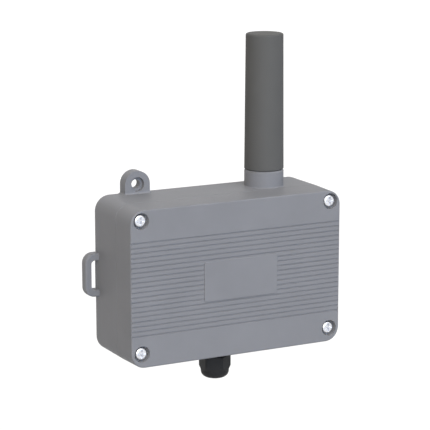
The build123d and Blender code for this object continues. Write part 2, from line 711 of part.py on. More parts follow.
def pins_beside(x, z, width, count, pitch, along_x):
    """Two rows of flat pins that leave a chip on opposite sides."""
    reach = width + 2 * PIN_REACH
    if along_x:
        bars = GridLocations(0, pitch, 1, count)
        size = (reach, PIN_WIDTH)
    else:
        bars = GridLocations(pitch, 0, count, 1)
        size = (PIN_WIDTH, reach)
    outline = Sketch() + [Pos(x, z) * bar * Rectangle(*size) for bar in bars]
    return slab(outline, BOARD_FRONT, BOARD_FRONT + PIN_RISE)


def chip(x, z, width, height, rise):
    """Moulded chip body with a bevelled top edge."""
    body = slab(Pos(x, z) * Rectangle(width, height), BOARD_FRONT, BOARD_FRONT + rise)
    return chamfer(body.edges().group_by(Axis.Y)[0], CHIP_BEVEL)


def microcontroller():
    size = CONTROLLER_SIZE
    body = chip(CONTROLLER_X, CONTROLLER_Z, size, size, CONTROLLER_RISE)
    body += pins_beside(CONTROLLER_X, CONTROLLER_Z, size, PIN_COUNT, PIN_PITCH, True)
    return body + pins_beside(CONTROLLER_X, CONTROLLER_Z, size, PIN_COUNT, PIN_PITCH, False)


def temperature_chip():
    body = chip(CHIP_X, CHIP_Z, CHIP_WIDTH, CHIP_HEIGHT, CHIP_RISE)
    return body + pins_beside(CHIP_X, CHIP_Z, CHIP_HEIGHT, CHIP_PIN_COUNT, CHIP_PIN_PITCH, False)


def crystal():
    shape = RectangleRounded(CRYSTAL_WIDTH, CRYSTAL_HEIGHT, CRYSTAL_CORNER_RADIUS)
    outline = Pos(CRYSTAL_X, CRYSTAL_Z) * shape
    can = slab(outline, BOARD_FRONT, BOARD_FRONT + CRYSTAL_RISE)
    return fillet(can.edges().group_by(Axis.Y)[0], CRYSTAL_EDGE_RADIUS)


def buffer_capacitor():
    """Upright capacitor can with the crimp groove near its foot."""
    r = CAPACITOR_DIAMETER / 2
    foot = BOARD_FRONT
    top = BOARD_FRONT + CAPACITOR_RISE
    groove = foot + CAPACITOR_GROOVE_RISE
    points = [
        (0, foot),
        (r, foot),
        (r, groove),
        (r - CAPACITOR_GROOVE_DEPTH, groove + CAPACITOR_GROOVE_WIDTH / 2),
        (r, groove + CAPACITOR_GROOVE_WIDTH),
        (r, top - CAPACITOR_EDGE),
        (r - CAPACITOR_EDGE, top),
        (0, top),
    ]
    return turned_forward(points, CAPACITOR_X, CAPACITOR_Z)


def status_led():
    """Round lamp with a flange and a domed lens."""
    flange = LED_FLANGE_DIAMETER / 2
    r = LED_DIAMETER / 2
    foot = -BOARD_FRONT
    ledge = foot - LED_FLANGE_RISE
    shoulder = ledge - LED_BARREL_RISE
    outline = Polyline((0, foot), (flange, foot), (flange, ledge), (r, ledge), (r, shoulder))
    dome = CenterArc((0, shoulder), r, -90, 90)
    profile = make_face(outline + dome + Line((0, shoulder - r), (0, foot)))
    return Pos(LED_X, 0, LED_Z) * revolve(profile, Axis.Y)


# Battery
def cell_bar(diameter, left, right):
    """Cylinder along X on the cell's axis."""
    disc = Plane((left, -CELL_DEPTH, CRADLE_Z), z_dir=(1, 0, 0)) * Circle(diameter / 2)
    return extrude(disc, amount=right - left)


def battery_holder():
    """Cradle that takes the lower half of the cell, with two end walls."""
    length = CRADLE_ROOM + 2 * CRADLE_WALL
    height = CELL_DIAMETER + 2 * CELL_CLEARANCE + 2 * CRADLE_WALL
    body = slab(Pos(CRADLE_X, CRADLE_Z) * Rectangle(length, height), BOARD_FRONT, CELL_DEPTH)
    left = CRADLE_X - CRADLE_ROOM / 2
    body -= cell_bar(CELL_DIAMETER + 2 * CELL_CLEARANCE, left, left + CRADLE_ROOM)
    gap = length / 3
    window = Pos(CRADLE_X, CRADLE_Z) * Rectangle(gap, height)
    return body - slab(window, CRADLE_SILL, CELL_DEPTH)


def battery_cell():
    """Lithium cell with its shoulder groove and contact nub."""
    right = CELL_LEFT + CELL_LENGTH
    body = cell_bar(CELL_DIAMETER, CELL_LEFT, right)
    body = fillet(body.edges().filter_by(GeomType.CIRCLE), CELL_EDGE_RADIUS)
    groove_end = right - CELL_GROOVE_FROM_END
    groove_start = groove_end - CELL_GROOVE_WIDTH
    ring = cell_bar(CELL_DIAMETER, groove_start, groove_end)
    ring -= cell_bar(CELL_DIAMETER - 2 * CELL_GROOVE_DEPTH, groove_start, groove_end)
    nub = cell_bar(CELL_NUB_DIAMETER, right, right + CELL_NUB_LENGTH)
    return body - ring + nub


def battery_contacts():
    """Contact plate at each end of the cradle, its tab bent over the end wall."""
    left = CRADLE_X - CRADLE_ROOM / 2
    plate = Pos(left + CONTACT_SHEET / 2, CRADLE_Z) * Rectangle(CONTACT_SHEET, CONTACT_WIDTH)
    blade = slab(plate, CRADLE_SILL, CELL_DEPTH + CONTACT_SHEET)
    tab_middle = left + CONTACT_SHEET - CONTACT_TAB / 2
    tab = Pos(tab_middle, CRADLE_Z) * Rectangle(CONTACT_TAB, CONTACT_WIDTH)
    blade += slab(tab, CELL_DEPTH, CELL_DEPTH + CONTACT_SHEET)
    other = mirror(blade, Plane.YZ.offset(CRADLE_X))
    return Compound(children=[blade, other])


# Terminal block
def terminal_places():
    return [GLAND_X + place.position.X for place in GridLocations(TERMINAL_PITCH, 0, TERMINAL_POLES, 1)]


def terminal_block():
    """Block with a sloping lower front, a lead entry below and a screw well in front of each pole."""
    width = TERMINAL_POLES * TERMINAL_PITCH
    low = TERMINAL_Z - TERMINAL_HEIGHT / 2
    high = TERMINAL_Z + TERMINAL_HEIGHT / 2
    foot = -BOARD_FRONT
    front = -BOARD_FRONT - TERMINAL_RISE
    outline = make_face(Polyline(
        (foot, low),
        (front + TERMINAL_SLOPE, low),
        (front, low + TERMINAL_SLOPE / 2),
        (front, high),
        (foot, high),
        close=True,
    ))
    body = extrude(Plane.YZ.offset(GLAND_X - width / 2) * outline, amount=width)
    top = BOARD_FRONT + TERMINAL_RISE
    entry_depth = BOARD_FRONT + TERMINAL_ENTRY_RISE
    for x in terminal_places():
        body -= upright(x, entry_depth, TERMINAL_ENTRY_DIAMETER, low, low + TERMINAL_ENTRY_LENGTH)
        body -= post(x, TERMINAL_Z + TERMINAL_WELL_OFFSET, TERMINAL_WELL_DIAMETER, top - TERMINAL_WELL_DEPTH, top)
    return body


def terminal_screws():
    """Slotted clamp screws that rest on the floors of the wells."""
    floor = BOARD_FRONT + TERMINAL_RISE - TERMINAL_WELL_DEPTH
    head = floor + TERMINAL_SCREW_RISE
    z = TERMINAL_Z + TERMINAL_WELL_OFFSET
    screws = []
    for x in terminal_places():
        screw = post(x, z, TERMINAL_SCREW_DIAMETER, floor, head)
        slot = Pos(x, z) * Rectangle(TERMINAL_SCREW_DIAMETER, TERMINAL_SLOT_WIDTH)
        screws.append(screw - slab(slot, head - TERMINAL_SLOT_DEPTH, head))
    return Compound(children=screws)


# Pairing button
def button_housing():
    """Square switch body with a round guide for its cap."""
    top = BOARD_FRONT + BUTTON_BODY_RISE
    body = slab(Pos(BUTTON_X, BUTTON_Z) * Rectangle(BUTTON_SIZE, BUTTON_SIZE), BOARD_FRONT, top)
    body = chamfer(body.edges().filter_by(Axis.Y), BUTTON_BODY_BEVEL)
    guide = BUTTON_CAP_DIAMETER + 2 * BUTTON_CLEARANCE
    return body - post(BUTTON_X, BUTTON_Z, guide, BOARD_FRONT + BUTTON_FLOOR, top)


def pairing_button():
    """Round cap that is pressed towards the wall, with room for its travel behind it."""
    back = BOARD_FRONT + BUTTON_FLOOR + BUTTON_TRAVEL + BUTTON_CLEARANCE
    front = BOARD_FRONT + BUTTON_CAP_RISE
    cap = post(BUTTON_X, BUTTON_Z, BUTTON_CAP_DIAMETER, back, front)
    return fillet(cap.edges().group_by(Axis.Y)[0], BUTTON_CAP_EDGE_RADIUS)


# Cable gland
def clipped_hexagon(bottom, top):
    """Hexagonal prism on the gland's axis, with its corners clipped at both ends."""
    prism = hexagon(GLAND_FLATS, GLAND_X, GLAND_DEPTH, bottom, top)
    reach = GLAND_FLATS / math.sqrt(3)
    points = [
        (0, top),
        (reach - 2 * CORNER_CLIP, top),
        (reach - CORNER_CLIP, top - CORNER_CLIP),
        (reach - CORNER_CLIP, bottom + CORNER_CLIP),
        (reach - 2 * CORNER_CLIP, bottom),
        (0, bottom),
    ]
    return prism & turned_upright(points, GLAND_X, GLAND_DEPTH)


def gland_body():
    """Threaded through-piece with a hexagonal flange under the wall."""
    thread = GLAND_THREAD_DIAMETER / 2
    lower = thread - THREAD_RUNNING_CLEARANCE
    upper_end = BOTTOM + GLAND_UPPER_THREAD + WALL
    edge = GLAND_THREAD_CHAMFER
    points = [
        (0, upper_end),
        (thread - edge, upper_end),
        (thread, upper_end - edge),
        (thread, FLANGE_BOTTOM),
        (lower, FLANGE_BOTTOM),
        (lower, GLAND_END + edge),
        (lower - edge, GLAND_END),
        (0, GLAND_END),
    ]
    body = turned_upright(points, GLAND_X, GLAND_DEPTH) + clipped_hexagon(FLANGE_BOTTOM, FLANGE_TOP)
    body -= upright(GLAND_X, GLAND_DEPTH, GLAND_BORE, GLAND_END, upper_end)
    seat = GLAND_END + GLAND_LOWER_BORE_DEPTH
    return body - upright(GLAND_X, GLAND_DEPTH, GLAND_LOWER_BORE, GLAND_END, seat)


def gland_flange_seal():
    """Flat ring between the flange and the wall."""
    ring = upright(GLAND_X, GLAND_DEPTH, GLAND_SEAL_DIAMETER, FLANGE_TOP, BOTTOM)
    bore = GLAND_THREAD_DIAMETER + 2 * THREAD_CLEARANCE
    return ring - upright(GLAND_X, GLAND_DEPTH, bore, FLANGE_TOP, BOTTOM)


def gland_lock_nut():
    """Nut that draws the gland against the wall from inside."""
    base = BOTTOM + WALL
    bore = GLAND_THREAD_DIAMETER + 2 * THREAD_CLEARANCE
    nut = clipped_hexagon(base, base + LOCK_NUT_HEIGHT)
    return nut - upright(GLAND_X, GLAND_DEPTH, bore, base, base + LOCK_NUT_HEIGHT)


def gland_nut():
    """Domed hexagonal nut: clipped corners, a shoulder, a short barrel and a round mouth."""
    hex_end = NUT_TOP - NUT_HEX_HEIGHT
    barrel_top = hex_end - NUT_SHOULDER
    barrel_end = barrel_top - NUT_BARREL_HEIGHT
    reach = GLAND_FLATS / math.sqrt(3)
    barrel = NUT_BARREL_DIAMETER / 2
    rim = NUT_MOUTH_DIAMETER / 2 + NUT_MOUTH_RIM
    side = Polyline(
        (0, NUT_TOP),
        (reach - 2 * CORNER_CLIP, NUT_TOP),
        (reach - CORNER_CLIP, NUT_TOP - CORNER_CLIP),
        (reach - CORNER_CLIP, hex_end),
        (barrel, barrel_top),
        (barrel, barrel_end),
    )
    full = NUT_DOME_FULLNESS
    middle = (rim + (barrel - rim) * full, barrel_end - NUT_DOME_HEIGHT * full)
    dome = ThreePointArc((barrel, barrel_end), middle, (rim, NUT_BOTTOM))
    close = Polyline((rim, NUT_BOTTOM), (0, NUT_BOTTOM), (0, NUT_TOP))
    turned = revolve(make_face(Plane.XZ * (side + dome + close)), Axis.Z)
    nut = Pos(GLAND_X, -GLAND_DEPTH) * turned
    nut &= hexagon(GLAND_FLATS, GLAND_X, GLAND_DEPTH, NUT_BOTTOM, NUT_TOP)
    thread = GLAND_THREAD_DIAMETER / 2
    cone_top = NUT_TOP - NUT_THREAD_DEPTH
    inside = [
        (0, NUT_TOP),
        (thread, NUT_TOP),
        (thread, cone_top),
        (NUT_MOUTH_DIAMETER / 2, NUT_BOTTOM + NUT_DOME_HEIGHT / 2),
        (NUT_MOUTH_DIAMETER / 2, NUT_BOTTOM),
        (0, NUT_BOTTOM),
    ]
    return nut - turned_upright(inside, GLAND_X, GLAND_DEPTH)


def gland_seal_insert():
    """Rubber sleeve in the gland's lower bore, its nose in the nut's cone."""
    outer = GLAND_LOWER_BORE / 2 - SEAL_INSERT_CLEARANCE
    bore = SEAL_INSERT_BORE / 2
    top = GLAND_END + GLAND_LOWER_BORE_DEPTH - SEAL_INSERT_TOP_GAP
    nose = GLAND_END - SEAL_INSERT_NOSE
    points = [
        (bore, top),
        (outer, top),
        (outer, GLAND_END),
        (SEAL_INSERT_NOSE_DIAMETER / 2, nose),
        (bore, nose),
    ]
    return turned_upright(points, GLAND_X, GLAND_DEPTH)


PIECES = {
    "base_housing": base_housing,
    "front_cover": front_cover,
    "cover_gasket": cover_gasket,
    "cover_screws": cover_screws,
    "threaded_inserts": threaded_inserts,
    "antenna_radome": antenna_radome,
    "antenna_seal": antenna_seal,
    "antenna_holder": antenna_holder,
    "antenna_rod": antenna_rod,
    "antenna_lead": antenna_lead,
    "coax_socket": coax_socket,
    "coax_plug": coax_plug,
    "circuit_board": circuit_board,
    "board_screws": board_screws,
    "radio_module": radio_module,
    "radio_shield": radio_shield,
    "microcontroller": microcontroller,
    "temperature_chip": temperature_chip,
    "crystal": crystal,
    "buffer_capacitor": buffer_capacitor,
    "status_led": status_led,
    "battery_holder": battery_holder,
    "battery_cell": battery_cell,
    "battery_contacts": battery_contacts,
    "terminal_block": terminal_block,
    "terminal_screws": terminal_screws,
    "button_housing": button_housing,
    "pairing_button": pairing_button,
    "gland_body": gland_body,
    "gland_flange_seal": gland_flange_seal,
    "gland_lock_nut": gland_lock_nut,
    "gland_nut": gland_nut,
    "gland_seal_insert": gland_seal_insert,
}

os.makedirs("parts", exist_ok=True)
for name, make in PIECES.items():
    export_step(make(), f"parts/{name}.step")
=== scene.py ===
"""Wireless temperature sensor: materials, thread detail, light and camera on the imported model. Metres."""
import json
import math

import bmesh
import bpy
from mathutils import Matrix, Vector


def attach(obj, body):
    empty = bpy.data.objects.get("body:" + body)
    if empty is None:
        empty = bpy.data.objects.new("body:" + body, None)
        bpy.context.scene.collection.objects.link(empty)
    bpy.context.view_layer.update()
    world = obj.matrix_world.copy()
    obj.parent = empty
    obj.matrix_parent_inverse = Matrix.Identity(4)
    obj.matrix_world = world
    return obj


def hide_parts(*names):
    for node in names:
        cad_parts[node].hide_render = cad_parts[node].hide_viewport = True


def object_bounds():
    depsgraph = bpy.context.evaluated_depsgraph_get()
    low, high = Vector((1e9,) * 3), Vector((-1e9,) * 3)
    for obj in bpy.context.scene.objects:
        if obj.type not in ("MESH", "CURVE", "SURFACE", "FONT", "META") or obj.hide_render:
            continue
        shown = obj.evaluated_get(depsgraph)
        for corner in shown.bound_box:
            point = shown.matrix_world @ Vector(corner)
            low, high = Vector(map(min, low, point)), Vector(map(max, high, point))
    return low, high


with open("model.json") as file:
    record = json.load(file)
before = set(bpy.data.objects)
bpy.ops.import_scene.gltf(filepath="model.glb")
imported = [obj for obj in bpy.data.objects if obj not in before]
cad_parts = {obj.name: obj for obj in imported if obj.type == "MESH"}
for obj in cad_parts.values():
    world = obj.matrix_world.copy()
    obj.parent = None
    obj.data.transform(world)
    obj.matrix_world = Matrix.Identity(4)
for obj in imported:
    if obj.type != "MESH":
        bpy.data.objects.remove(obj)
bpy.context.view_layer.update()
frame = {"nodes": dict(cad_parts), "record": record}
nodes = frame["nodes"]

# The photograph's frame and the camera that took it
PHOTO_PIXELS = 430
FOCAL_PIXELS = 1890.2
SENSOR_MM = 36.0
CAMERA_AZIMUTH = -27.627
CAMERA_ELEVATION = 11.966
CAMERA_PLACE = Vector((-0.44274, -0.86303, 0.23031))
CLIP_START = 0.01
CLIP_END = 50.0

# Light: the lamps' azimuth and elevation in degrees, and their spread, which sets how soft the shadows are
WORLD_LIGHT = 0.20
LIGHT_SPREAD = 50.0
LIGHTS = {
    "key_light": {"azimuth": -30.0, "elevation": 25.0, "strength": 1.60, "colour": (1.13, 0.99, 0.77)},
    "fill_light": {"azimuth": -10.0, "elevation": 5.0, "strength": 1.00, "colour": (0.58, 1.0, 1.70)},
    "top_light": {"azimuth": 20.0, "elevation": 55.0, "strength": 1.36, "colour": (1.0, 1.0, 1.0)},
    "back_light": {"azimuth": 180.0, "elevation": 50.0, "strength": 0.45, "colour": (1.0, 1.0, 1.0)},
}
WHITE = (1.0, 1.0, 1.0, 1.0)
FLOOR_DROP = 0.09
FLOOR_SIZE = 20.0
FLOOR_SHADE = 0.40
FLOOR_ROUGHNESS = 0.9
FLOOR_GLOW = 0.66

# Gland body, from its lower end upwards: the heights and radii of the CAD solid, and its metric thread
GLAND_AXIS = (0.00045, -0.016)
GLAND_END = -0.0535
GLAND_SEAT = -0.0470
FLANGE_BOTTOM = -0.0462
FLANGE_TOP = -0.0417
GLAND_UPPER_END = -0.0295
LOWER_THREAD_RADIUS = 0.00594
UPPER_THREAD_RADIUS = 0.006
LOWER_BORE_RADIUS = 0.005
UPPER_BORE_RADIUS = 0.0038
FLANGE_FLATS = 0.015
CORNER_CLIP = 0.0003
THREAD_CHAMFER = 0.0006
THREAD_PITCH = 0.0015
THREAD_DEPTH = 0.0008
THREAD_CREST = 1.35
THREAD_FLANK = 3.2
THREAD_STEPS = 96
ROWS_PER_TURN = 12
HEX_TURN = 60.0
CREASE_DEGREES = 30
MERGE_DISTANCE = 0.0000002

# Noise lies mostly between these two values, which are stretched to the whole range
NOISE_LOW = 0.3
NOISE_HIGH = 0.7

# Painted light in the housing's narrow gaps, which lightens their shade: how far it looks for walls, the openness
# between which it fades, its colour
GAP_LIGHT_REACH = 0.0025
GAP_LIGHT_FULL = 0.02
GAP_LIGHT_BELOW = 0.28
GAP_LIGHT_COLOUR = (0.64, 0.64, 0.65, 1.0)
GAP_LIGHT_SAMPLES = 8
BEVEL_SAMPLES = 6

# Looks: sizes and depths in metres, tints as factors of the colour, roughness as what is added to its mean
MOULD_CLOUD = 0.018
MOULD_ROUGHNESS = (-0.05, 0.06)
MOULD_BUMP = 0.6
METAL_FILM = 0.003
METAL_TINTS = (0.93, 1.04)
METAL_ROUGHNESS = (-0.06, 0.08)
METAL_BUMP = 0.5
LENS_CLEARNESS = 0.6
LENS_INDEX = 1.49
LENS_CLOUD = 0.002
LENS_TINTS = (0.95, 1.05)
LENS_ROUGHNESS = (0.12, 0.2)

# Circuit board: a brick pattern as tracks under the solder resist
TRACKS_PER_METRE = 110.0
TRACKS = {
    "Mortar Size": 0.035,
    "Mortar Smooth": 0.3,
    "Brick Width": 0.9,
    "Row Height": 0.22,
    "Color1": (0.010, 0.095, 0.040, 1.0),
    "Color2": (0.012, 0.105, 0.045, 1.0),
    "Mortar": (0.030, 0.190, 0.075, 1.0),
}
TRACK_HEIGHT = 0.00003
TRACK_BUMP = 0.8
BOARD_FILM = 0.004
BOARD_ROUGHNESS = (0.22, 0.34)


# Node building blocks
def new_material(name):
    """A new node material, with its node tree and its shader."""
    material = bpy.data.materials.new(name)
    material.use_nodes = True
    tree = material.node_tree
    shader = tree.nodes["Principled BSDF"]
    return material, tree, shader


def add(tree, kind, **values):
    """A node of that kind, with its sockets or properties set by name."""
    node = tree.nodes.new(kind)
    for key, value in values.items():
        if key in node.inputs:
            node.inputs[key].default_value = value
        else:
            setattr(node, key, value)
    return node


def place_of(tree):
    """Position in the object's own space, in metres."""
    return add(tree, "ShaderNodeTexCoord").outputs["Object"]


def noise(tree, size, detail=2.0, rough=0.5, stretch=(1.0, 1.0, 1.0)):
    """Noise whose blobs are about that size, in metres."""
    mapping = add(tree, "ShaderNodeMapping")
    mapping.inputs["Scale"].default_value = tuple(s / size for s in stretch)
    tree.links.new(place_of(tree), mapping.inputs["Vector"])
    node = add(tree, "ShaderNodeTexNoise", Scale=1.0, Detail=detail, Roughness=rough)
    tree.links.new(mapping.outputs["Vector"], node.inputs["Vector"])
    return node.outputs["Fac"]


def spread(tree, source, low, high, from_low=NOISE_LOW, from_high=NOISE_HIGH):
    """Source remapped to the range from low to high."""
    node = add(tree, "ShaderNodeMapRange")
    node.inputs["From Min"].default_value = from_low
    node.inputs["From Max"].default_value = from_high
    node.inputs["To Min"].default_value = low
    node.inputs["To Max"].default_value = high
    tree.links.new(source, node.inputs["Value"])
    return node.outputs["Result"]


def blend_colours(tree, source, first, second):
    """Colour from first to second as noise goes from low to high."""
    ramp = add(tree, "ShaderNodeValToRGB")
    ramp.color_ramp.elements[0].position = NOISE_LOW
    ramp.color_ramp.elements[0].color = (*first, 1.0)
    ramp.color_ramp.elements[1].position = NOISE_HIGH
    ramp.color_ramp.elements[1].color = (*second, 1.0)
    tree.links.new(source, ramp.inputs["Fac"])
    return ramp.outputs["Color"]


def bump(tree, height, depth, strength, below=None):
    """Bump of that depth, in metres, on top of another normal, if there is one."""
    node = add(tree, "ShaderNodeBump", Strength=strength, Distance=depth)
    tree.links.new(height, node.inputs["Height"])
    if below is not None:
        tree.links.new(below, node.inputs["Normal"])
    return node.outputs["Normal"]


def soft_edges(tree, radius):
    """Normal that rounds the sharp edges of a moulded or turned piece."""
    return add(tree, "ShaderNodeBevel", samples=BEVEL_SAMPLES, Radius=radius).outputs["Normal"]


def tint(colour, factor):
    """Colour made darker or lighter by that factor."""
    return tuple(min(1.0, c * factor) for c in colour)


def painted_gap_light(tree, colour):
    """Colour that turns pale deep in narrow gaps, such as round a screw head: painted light that lightens their
    shade.
    """
    openness = add(tree, "ShaderNodeAmbientOcclusion", samples=GAP_LIGHT_SAMPLES, Distance=GAP_LIGHT_REACH)
    layer = add(tree, "ShaderNodeMix", data_type="RGBA")
    amount = spread(tree, openness.outputs["AO"], 1.0, 0.0, GAP_LIGHT_FULL, GAP_LIGHT_BELOW)
    tree.links.new(amount, layer.inputs["Factor"])
    tree.links.new(colour, layer.inputs["A"])
    layer.inputs["B"].default_value = GAP_LIGHT_COLOUR
    return layer.outputs["Result"]


# Materials
def moulded_plastic(name, colour, rough, grain=0.0004, grain_depth=0.00002, mottle=0.03, edge=0.0002, gloss=0.3,
                    gap_light=False):
    """Moulded plastic: slow mottling, a spark-eroded grain and softly rounded edges."""
    material, tree, shader = new_material(name)
    shader.inputs["Specular IOR Level"].default_value = gloss
    cloud = noise(tree, MOULD_CLOUD, detail=3.0, rough=0.55)
    pores = noise(tree, grain)
    colour_out = blend_colours(tree, cloud, tint(colour, 1 - mottle), tint(colour, 1 + mottle))
    # Painted light: deep narrow gaps, such as round the screw heads, are lightened in colour where they would lie in
    # shade
    if gap_light:
        colour_out = painted_gap_light(tree, colour_out)
    tree.links.new(colour_out, shader.inputs["Base Color"])
    low, high = MOULD_ROUGHNESS
    tree.links.new(spread(tree, pores, rough + low, rough + high), shader.inputs["Roughness"])
    edges = soft_edges(tree, edge)
    tree.links.new(bump(tree, pores, grain_depth, MOULD_BUMP, edges), shader.inputs["Normal"])
    return material


def metal(name, colour, rough, scratch=0.0006, stretch=(1.0, 1.0, 1.0), depth=0.000006, edge=0.0001):
    """Plated or turned metal with fine marks and slightly uneven polish."""
    material, tree, shader = new_material(name)
    shader.inputs["Metallic"].default_value = 1.0
    marks = noise(tree, scratch, detail=4.0, rough=0.6, stretch=stretch)
    film = noise(tree, METAL_FILM)
    dark, light = METAL_TINTS
    colour_out = blend_colours(tree, film, tint(colour, dark), tint(colour, light))
    tree.links.new(colour_out, shader.inputs["Base Color"])
    low, high = METAL_ROUGHNESS
    tree.links.new(spread(tree, marks, rough + low, rough + high), shader.inputs["Roughness"])
    edges = soft_edges(tree, edge)
    tree.links.new(bump(tree, marks, depth, METAL_BUMP, edges), shader.inputs["Normal"])
    return material


def circuit_laminate(name):
    """Green solder resist over copper tracks, which stand up a little under it."""
    material, tree, shader = new_material(name)
    tracks = add(tree, "ShaderNodeTexBrick", Scale=1.0, offset=0.5)
    for socket, value in TRACKS.items():
        tracks.inputs[socket].default_value = value
    turned = add(tree, "ShaderNodeMapping")
    turned.inputs["Rotation"].default_value = (math.radians(90), 0.0, 0.0)
    turned.inputs["Scale"].default_value = (TRACKS_PER_METRE, TRACKS_PER_METRE, TRACKS_PER_METRE)
    tree.links.new(place_of(tree), turned.inputs["Vector"])
    tree.links.new(turned.outputs["Vector"], tracks.inputs["Vector"])
    tree.links.new(tracks.outputs["Color"], shader.inputs["Base Color"])
    film = noise(tree, BOARD_FILM)
    tree.links.new(spread(tree, film, *BOARD_ROUGHNESS), shader.inputs["Roughness"])
    tree.links.new(bump(tree, tracks.outputs["Fac"], TRACK_HEIGHT, TRACK_BUMP), shader.inputs["Normal"])
    return material


def tinted_lens(name, colour):
    """Clear tinted plastic that light passes through."""
    material, tree, shader = new_material(name)
    shader.inputs["Transmission Weight"].default_value = LENS_CLEARNESS
    shader.inputs["IOR"].default_value = LENS_INDEX
    cloud = noise(tree, LENS_CLOUD)
    dark, light = LENS_TINTS
    tree.links.new(blend_colours(tree, cloud, tint(colour, dark), tint(colour, light)), shader.inputs["Base Color"])
    tree.links.new(spread(tree, cloud, *LENS_ROUGHNESS), shader.inputs["Roughness"])
    return material


def make_materials():
    """One material for each of the record's slots."""
    return {
        # The housing gets painted light in its deep narrow gaps, which lightens their shade
        "housing_plastic": moulded_plastic("housing_plastic", (0.232, 0.235, 0.252), 0.5, gloss=0.15, gap_light=True),
        "radome_plastic": moulded_plastic("radome_plastic", (0.1125, 0.112, 0.1095), 0.65, edge=0.0003, gloss=0.12),
        "gland_nylon": moulded_plastic("gland_nylon", (0.025, 0.025, 0.0255), 0.5,
                                       grain=0.0006, mottle=0.1, gloss=0.12),
        "seal_rubber": moulded_plastic("seal_rubber", (0.022, 0.022, 0.022), 0.75, grain=0.0003, mottle=0.08),
        "zinc_steel": metal("zinc_steel", (0.71, 0.72, 0.755), 0.29),
        "brass": metal("brass", (0.78, 0.60, 0.30), 0.28, stretch=(1.0, 1.0, 0.2)),
        "insulator": moulded_plastic("insulator", (0.74, 0.74, 0.71), 0.4, grain=0.0008, mottle=0.02),
        "lead_jacket": moulded_plastic("lead_jacket", (0.035, 0.035, 0.036), 0.42, mottle=0.06),
        "board": circuit_laminate("board"),
        "shield_tin": metal("shield_tin", (0.68, 0.67, 0.65), 0.34, stretch=(1.0, 1.0, 0.15)),
        "chip_black": moulded_plastic("chip_black", (0.028, 0.028, 0.030), 0.55, grain=0.0002, mottle=0.08),
        "capacitor_sleeve": moulded_plastic("capacitor_sleeve", (0.018, 0.026, 0.055), 0.25, mottle=0.06),
        "led_lens": tinted_lens("led_lens", (0.10, 0.55, 0.14)),
        "cell_wrap": moulded_plastic("cell_wrap", (0.045, 0.110, 0.290), 0.22, grain=0.0015, mottle=0.05),
        "terminal_green": moulded_plastic("terminal_green", (0.050, 0.290, 0.100), 0.45, mottle=0.04),
    }


def dress(materials):
    """Give each CAD node the material of its slot in the record."""
    for part in frame["record"]["subparts"]:
        node = nodes[part["node"]]
        node.data.materials.clear()
        node.data.materials.append(materials[part["material_slot"]])


# Gland body with its thread cut
def thread_cut(turns):
    """Depth of a metric thread below its crest, as a share of the whole, at a number of turns."""
    phase = turns % 1.0
    return min(1.0, max(0.0, THREAD_CREST - THREAD_FLANK * abs(phase - 0.5)))


def thread_rings(start, end, radius, chamfer_start, chamfer_end):
    """Rings of a helical thread between two heights, run out at the ends that carry a chamfer."""
    count = max(2, round((end - start) / THREAD_PITCH * ROWS_PER_TURN))
    rings = []
    for row in range(count + 1):
        z = start + (end - start) * row / count
        ring = []
        for step in range(THREAD_STEPS):
            cut = THREAD_DEPTH * thread_cut(z / THREAD_PITCH - step / THREAD_STEPS)
            limit = radius
            if chamfer_start:
                limit = min(limit, radius - THREAD_CHAMFER + (z - start))
            if chamfer_end:
                limit = min(limit, radius - THREAD_CHAMFER + (end - z))
            ring.append((min(radius - cut, limit), z))
        rings.append(ring)
    return rings


def round_ring(radius, z):
    """Ring of one radius all round."""
    return [(radius, z)] * THREAD_STEPS


def hex_ring(z, clip):
    """Ring round a hexagon with a flat to each side, its corners clipped."""
    reach = FLANGE_FLATS / math.sqrt(3) - clip
    ring = []
    for step in range(THREAD_STEPS):
        turn = math.radians((360.0 * step / THREAD_STEPS + HEX_TURN / 2) % HEX_TURN - HEX_TURN / 2)
        ring.append((min(FLANGE_FLATS / 2 / math.cos(turn), reach), z))
    return ring


def mesh_from_rings(name, rings):
    """Closed mesh through rings of (radius, height) round the gland's axis, the last joined to the first."""
    mesh = bpy.data.meshes.new(name)
    points = []
    for ring in rings:
        for step, (radius, z) in enumerate(ring):
            angle = 2 * math.pi * step / THREAD_STEPS
            points.append((GLAND_AXIS[0] + radius * math.cos(angle), GLAND_AXIS[1] + radius * math.sin(angle), z))
    faces = []
    for low in range(len(rings)):
        high = (low + 1) % len(rings)
        for step in range(THREAD_STEPS):
            after = (step + 1) % THREAD_STEPS
            faces.append((low * THREAD_STEPS + step, low * THREAD_STEPS + after,
                          high * THREAD_STEPS + after, high * THREAD_STEPS + step))
    mesh.from_pydata(points, [], faces)
    smooth_round_faces(mesh)
    return mesh


def smooth_round_faces(mesh):
    """Smooth shading, kept sharp where faces meet at more than the crease angle."""
    shape = bmesh.new()
    shape.from_mesh(mesh)
    bmesh.ops.remove_doubles(shape, verts=shape.verts, dist=MERGE_DISTANCE)
    bmesh.ops.recalc_face_normals(shape, faces=shape.faces)
    for face in shape.faces:
        face.smooth = True
    for edge in shape.edges:
        if len(edge.link_faces) == 2 and edge.calc_face_angle(0.0) > math.radians(CREASE_DEGREES):
            edge.smooth = False
    shape.to_mesh(mesh)
    shape.free()


